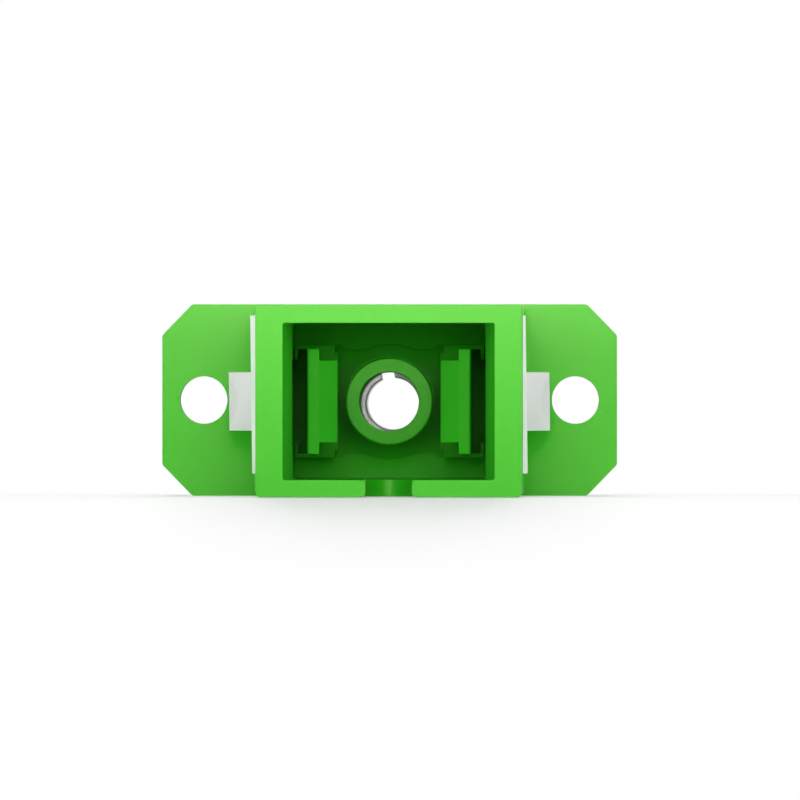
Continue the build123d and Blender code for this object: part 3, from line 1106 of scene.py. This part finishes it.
@dataclass
class ThreadedBarrel:
    """The turned barrel of the round port, with its foot, relief, thread and key slot, in mm."""

    joint: Joint
    start: float = 2.4
    foot: float = 1.14
    foot_radius: float = 5.3
    back: float = 5.6
    reach: float = 6.4
    radius: float = 4.0
    bore: float = 3.0
    bore_bevel: float = 0.15
    tip_bevel: float = 0.4
    relief: float = 0.8
    relief_depth: float = 0.35
    key_width: float = 2.15
    key_past: float = 0.3
    key_reach: float = 6.0
    pitch: float = 0.75
    thread_depth: float = 0.33
    crest: float = 0.2
    groove_y: float = 6.0
    rows_a_turn: int = 10
    steps: int = 160
    far: float = 7.0
    edge: float = 0.03
    edge_limit: float = 70.0

    @property
    def tip(self) -> float:
        """The Y of the barrel's tip."""
        return self.back + self.reach

    @property
    def thread(self) -> Point:
        """The range of Y that the thread runs over."""
        return (self.back + self.relief, self.tip - self.tip_bevel)

    def blank(self) -> Solid:
        """The barrel before threading, with enough rows along it for the thread."""
        first, last = self.thread
        neck = self.radius - self.relief_depth
        rows = round((last - first) / self.pitch * self.rows_a_turn)
        section = [(self.bore, self.start), (self.foot_radius, self.start),
                   (self.foot_radius, self.start + self.foot),
                   (self.radius, self.start + self.foot),
                   (self.radius, self.back), (neck, self.back), (neck, first)]
        section += [(self.radius, first + (last - first) * row / rows) for row in range(rows + 1)]
        section += [(self.radius - self.tip_bevel, self.tip),
                    (self.bore + self.bore_bevel, self.tip),
                    (self.bore, self.tip - self.bore_bevel)]
        return turned(section, self.steps, name="barrel")

    def thread_tree(self) -> bpy.types.NodeTree:
        """The node tree that cuts a helical groove into the rows of the blank.

        Returns:
            A tree with named inputs for the pitch, the depth, the crest's share, a place of the
            groove, the major radius and the two ends.
        """
        tree = bpy.data.node_groups.new("helical_thread", "GeometryNodeTree")
        face = tree.interface
        face.new_socket("Blank", in_out="INPUT", socket_type="NodeSocketGeometry")
        for label in ("Pitch", "Depth", "Crest", "Groove At", "Major Radius", "Start", "End"):
            face.new_socket(label, in_out="INPUT", socket_type="NodeSocketFloat")
        face.new_socket("Finish", in_out="INPUT", socket_type="NodeSocketMaterial")
        face.new_socket("Threaded", in_out="OUTPUT", socket_type="NodeSocketGeometry")
        known = {socket.name: socket for socket in add_node(tree, "NodeGroupInput").outputs}
        place = add_node(tree, "GeometryNodeInputPosition").outputs[0]
        known |= zip("xyz", add_node(tree, "ShaderNodeSeparateXYZ", Vector=place).outputs)
        for name, operation, *parts in GROOVE_STEPS:
            inputs = {f"in{index}": known.get(part, part) for index, part in enumerate(parts)}
            step = add_node(tree, "ShaderNodeMath", {"operation": operation}, **inputs)
            known[name] = step.outputs[0]
        moved = add_node(tree, "ShaderNodeCombineXYZ", X=known["moved x"], Y=known["y"],
                         Z=known["moved z"])
        cut = add_node(tree, "GeometryNodeSetPosition", Geometry=known["Blank"],
                       Selection=known["chosen"], Position=moved.outputs[0])
        real = add_node(tree, "GeometryNodeRealizeInstances", Geometry=cut.outputs[0])
        dressed = add_node(tree, "GeometryNodeSetMaterial", Geometry=real.outputs[0],
                           Material=known["Finish"])
        add_node(tree, "NodeGroupOutput", Threaded=dressed.outputs[0])
        return tree

    def build(self, shop: Workshop) -> None:
        """Make the barrel, cut its thread and put it in its place."""
        piece = self.blank()
        first, last = self.thread
        tree = self.thread_tree()
        values = {
            "Pitch": self.pitch,
            "Depth": self.thread_depth,
            "Crest": self.crest,
            "Groove At": self.groove_y,
            "Major Radius": self.radius,
            "Start": first,
            "End": last,
            "Finish": shop.material(NICKEL),
        }
        step = piece.modifiers.new("thread", "NODES")
        step.node_group = tree
        for item in tree.interface.items_tree:
            if item.in_out == "INPUT" and item.name in values:
                step[item.identifier] = values[item.name]
        bake(piece)
        half = self.key_width / 2
        flat = self.joint.chamber_height / 2 - self.joint.seat
        foot = (self.start - PAST, self.start + self.foot + OVERLAP)
        tools = [box((-half, half), (first - self.key_past, self.tip + PAST), (-self.key_reach, 0))]
        for z in ((flat, self.far), (-self.far, -flat)):
            tools.append(box((-self.far, self.far), foot, z))
        shape(piece, Cut.REMOVE, tools)
        soften(piece, self.edge, segments=1, limit=self.edge_limit)
        shop.hand_over(piece, "fc_barrel", NICKEL)


# The room

@dataclass(frozen=True)
class Lamp:
    """A soft lamp that looks at the port, in mm.

    Its level is how bright it makes a white face that looks straight at it, where 1 is white. One
    that isn't plain only shows in gloss, and one without gloss is polarised and never shows there.
    """

    name: str
    place: tuple[float, float, float]
    size: Point
    level: float
    plain: bool = True
    gloss: bool = True

    def hang(self, target: Vector) -> None:
        """Put the lamp in the scene.

        Args:
            target: What it looks at, in mm.
        """
        way = target - Vector(self.place)
        data = bpy.data.lights.new(self.name, "AREA")
        data.shape = "RECTANGLE"
        data.size = self.size[0] * METRES
        data.size_y = self.size[1] * METRES
        data.energy = self.level * (math.pi * way.length * METRES) ** 2
        made = bpy.data.objects.new(self.name, data)
        bpy.context.scene.collection.objects.link(made)
        made.location = Vector(self.place) * METRES
        made.rotation_euler = way.to_track_quat("-Z", "Y").to_euler()
        made.visible_camera = False
        made.visible_diffuse = self.plain
        made.visible_glossy = self.gloss


LAMPS = (
    Lamp("key", (0, -74, 17.5), (30, 12), 0.64, plain=False),
    Lamp("front", (0, -400, 40), (300, 120), 0.31, gloss=False),
    Lamp("left", (-260, -170, 30), (140, 140), 0.3),
    Lamp("right", (260, -170, 30), (140, 140), 0.3),
    Lamp("high", (0, -110, 130), (160, 80), 0.25),
    Lamp("rear", (0, 140, 150), (160, 120), 0.6),
)


@dataclass
class Studio:
    """Pale floor, soft lamps and the level camera of the photo, in mm."""

    camera_x: float = 2.2
    camera_z: float = 0.07
    camera_shift: float = -0.0439
    mouth_y: float = -12.5
    distance: float = 550.0
    focal_pixels: float = 11627.0
    frame_pixels: float = 800.0
    sensor: float = 36.0
    floor_z: float = -4.56
    level_front: float = -13.0
    level_back: float = 12.5
    fall_angle: float = 12.0
    fall_bend: float = 6.0
    fall_steps: int = 16
    table_reach: float = 2000.0
    room_light: float = 0.2
    paper: float = 0.8
    near_glow: float = 0.31
    far_white: float = 1.02
    lamp_near: float = 80.0
    lamp_far: float = 400.0
    dark_range: Point = (-0.3, 0.6)
    dark_level: Point = (0.02, 1.0)

    def camera(self) -> None:
        """Stand the camera where the photo was taken, level and square to the port."""
        data = bpy.data.cameras.new("camera")
        data.sensor_width = self.sensor
        data.lens = self.focal_pixels / self.frame_pixels * self.sensor
        data.shift_x = self.camera_shift
        data.clip_start = 0.01
        data.clip_end = 10.0
        made = bpy.data.objects.new("camera", data)
        bpy.context.scene.collection.objects.link(made)
        place = Vector((self.camera_x, self.mouth_y - self.distance, self.camera_z))
        made.location = place * METRES
        made.rotation_euler = (math.radians(90), 0, 0)
        bpy.context.scene.camera = made

    def fall(self, start: float, way: int) -> Outline:
        """One end of the table, where it bends down and away.

        Args:
            start: The Y where the level part ends.
            way: -1 towards the camera, 1 away from it.

        Returns:
            Points in Y and Z, from the level part outwards.
        """
        run = self.fall_bend / self.fall_steps
        y, z = start, self.floor_z
        rows = [(y, z)]
        for index in range(1, self.fall_steps + 1):
            y += way * run
            z -= run * math.tan(math.radians(self.fall_angle * index / self.fall_steps))
            rows.append((y, z))
        drop = self.table_reach * math.tan(math.radians(self.fall_angle))
        rows.append((y + way * self.table_reach, z - drop))
        return rows

    def floor(self) -> None:
        """A table that is level under the adapter and falls away in front, so the shadow shows.

        It falls away behind too, so that the camera sees the white room there and no table.
        """
        work = bmesh.new()
        half = self.table_reach
        rows = list(reversed(self.fall(self.level_back, 1))) + self.fall(self.level_front, -1)
        lines = [[work.verts.new(Vector((x, y, z)) * METRES) for x in (-half, half)]
                 for y, z in rows]
        for first, second in zip(lines, lines[1:]):
            work.faces.new((first[0], first[1], second[1], second[0]))
        made = store("floor", work)
        made.data.shade_smooth()
        made.data.materials.append(self.floor_paper())

    def floor_paper(self) -> bpy.types.Material:
        """White paper that the camera sees as white where nothing shades it."""
        made = bpy.data.materials.new("white_paper")
        made.use_nodes = True
        tree = made.node_tree
        tree.nodes.clear()
        paper = add_node(tree, "ShaderNodeBsdfDiffuse",
                         {"Color": (self.paper, self.paper, self.paper, 1.0)})
        where = add_node(tree, "ShaderNodeTexCoord").outputs["Object"]
        reach = add_node(tree, "ShaderNodeVectorMath", {"operation": "LENGTH"}, in0=where)
        rest = add_node(tree, "ShaderNodeMapRange", Value=reach.outputs["Value"],
                        From_Min=self.lamp_near * METRES, From_Max=self.lamp_far * METRES,
                        To_Min=self.near_glow,
                        To_Max=self.far_white - self.paper * self.room_light)
        glow = add_node(tree, "ShaderNodeEmission", {"Color": (1.0, 1.0, 1.0, 1.0)},
                        Strength=rest.outputs[0])
        both = add_node(tree, "ShaderNodeAddShader", in0=paper.outputs[0], in1=glow.outputs[0])
        seen = seen_by(tree, "Is Camera Ray", "Is Glossy Ray", "Is Transmission Ray")
        mix = add_node(tree, "ShaderNodeMixShader", in0=seen, in1=paper.outputs[0],
                       in2=both.outputs[0])
        add_node(tree, "ShaderNodeOutputMaterial", Surface=mix.outputs[0])
        return made

    def world(self) -> None:
        """A white room that is dim as light, and dark in reflections only behind the camera."""
        made = bpy.data.worlds.new("room")
        bpy.context.scene.world = made
        made.use_nodes = True
        tree = made.node_tree
        tree.nodes.clear()
        way = add_node(tree, "ShaderNodeTexCoord").outputs["Generated"]
        split = add_node(tree, "ShaderNodeSeparateXYZ", Vector=way)
        behind = add_node(tree, "ShaderNodeMapRange", Value=split.outputs[1],
                          From_Min=self.dark_range[0], From_Max=self.dark_range[1],
                          To_Min=self.dark_level[0], To_Max=self.dark_level[1])
        plain, gloss, white = (
            add_node(tree, "ShaderNodeBackground", {"Color": (1.0, 1.0, 1.0, 1.0)},
                     Strength=strength).outputs[0]
            for strength in (self.room_light, behind.outputs[0], 1.0))
        lit = add_node(tree, "ShaderNodeMixShader", in0=seen_by(tree, "Is Glossy Ray"), in1=plain,
                       in2=gloss)
        seen = seen_by(tree, "Is Camera Ray", "Is Transmission Ray")
        mix = add_node(tree, "ShaderNodeMixShader", in0=seen, in1=lit.outputs[0], in2=white)
        add_node(tree, "ShaderNodeOutputWorld", Surface=mix.outputs[0])

    def build(self) -> None:
        """Set up the camera, the floor and the light."""
        self.camera()
        self.floor()
        self.world()
        for lamp in LAMPS:
            lamp.hang(Vector((0, self.mouth_y / 2, 0)))
        bpy.context.scene.view_settings.view_transform = "Standard"


def main() -> None:
    """Build every sub-assembly in order, then the room."""
    logging.basicConfig(level=logging.INFO, format="%(name)s %(message)s")
    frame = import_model()
    LOG.info("frame with %d pieces", len(frame["nodes"]))
    shop = Workshop()
    joint = Joint()
    holder = SleeveHolder()
    FrontHousing(joint).build(shop)
    LatchInsert(joint, holder).build(shop)
    AlignmentSleeve(joint).build(shop)
    PanelClip().build(shop)
    RearHousing(joint).build(shop)
    RearInsert(joint, holder).build(shop)
    ThreadedBarrel(joint).build(shop)
    Studio().build()
    LOG.info("sizes written")


if __name__ == "__main__":
    main()
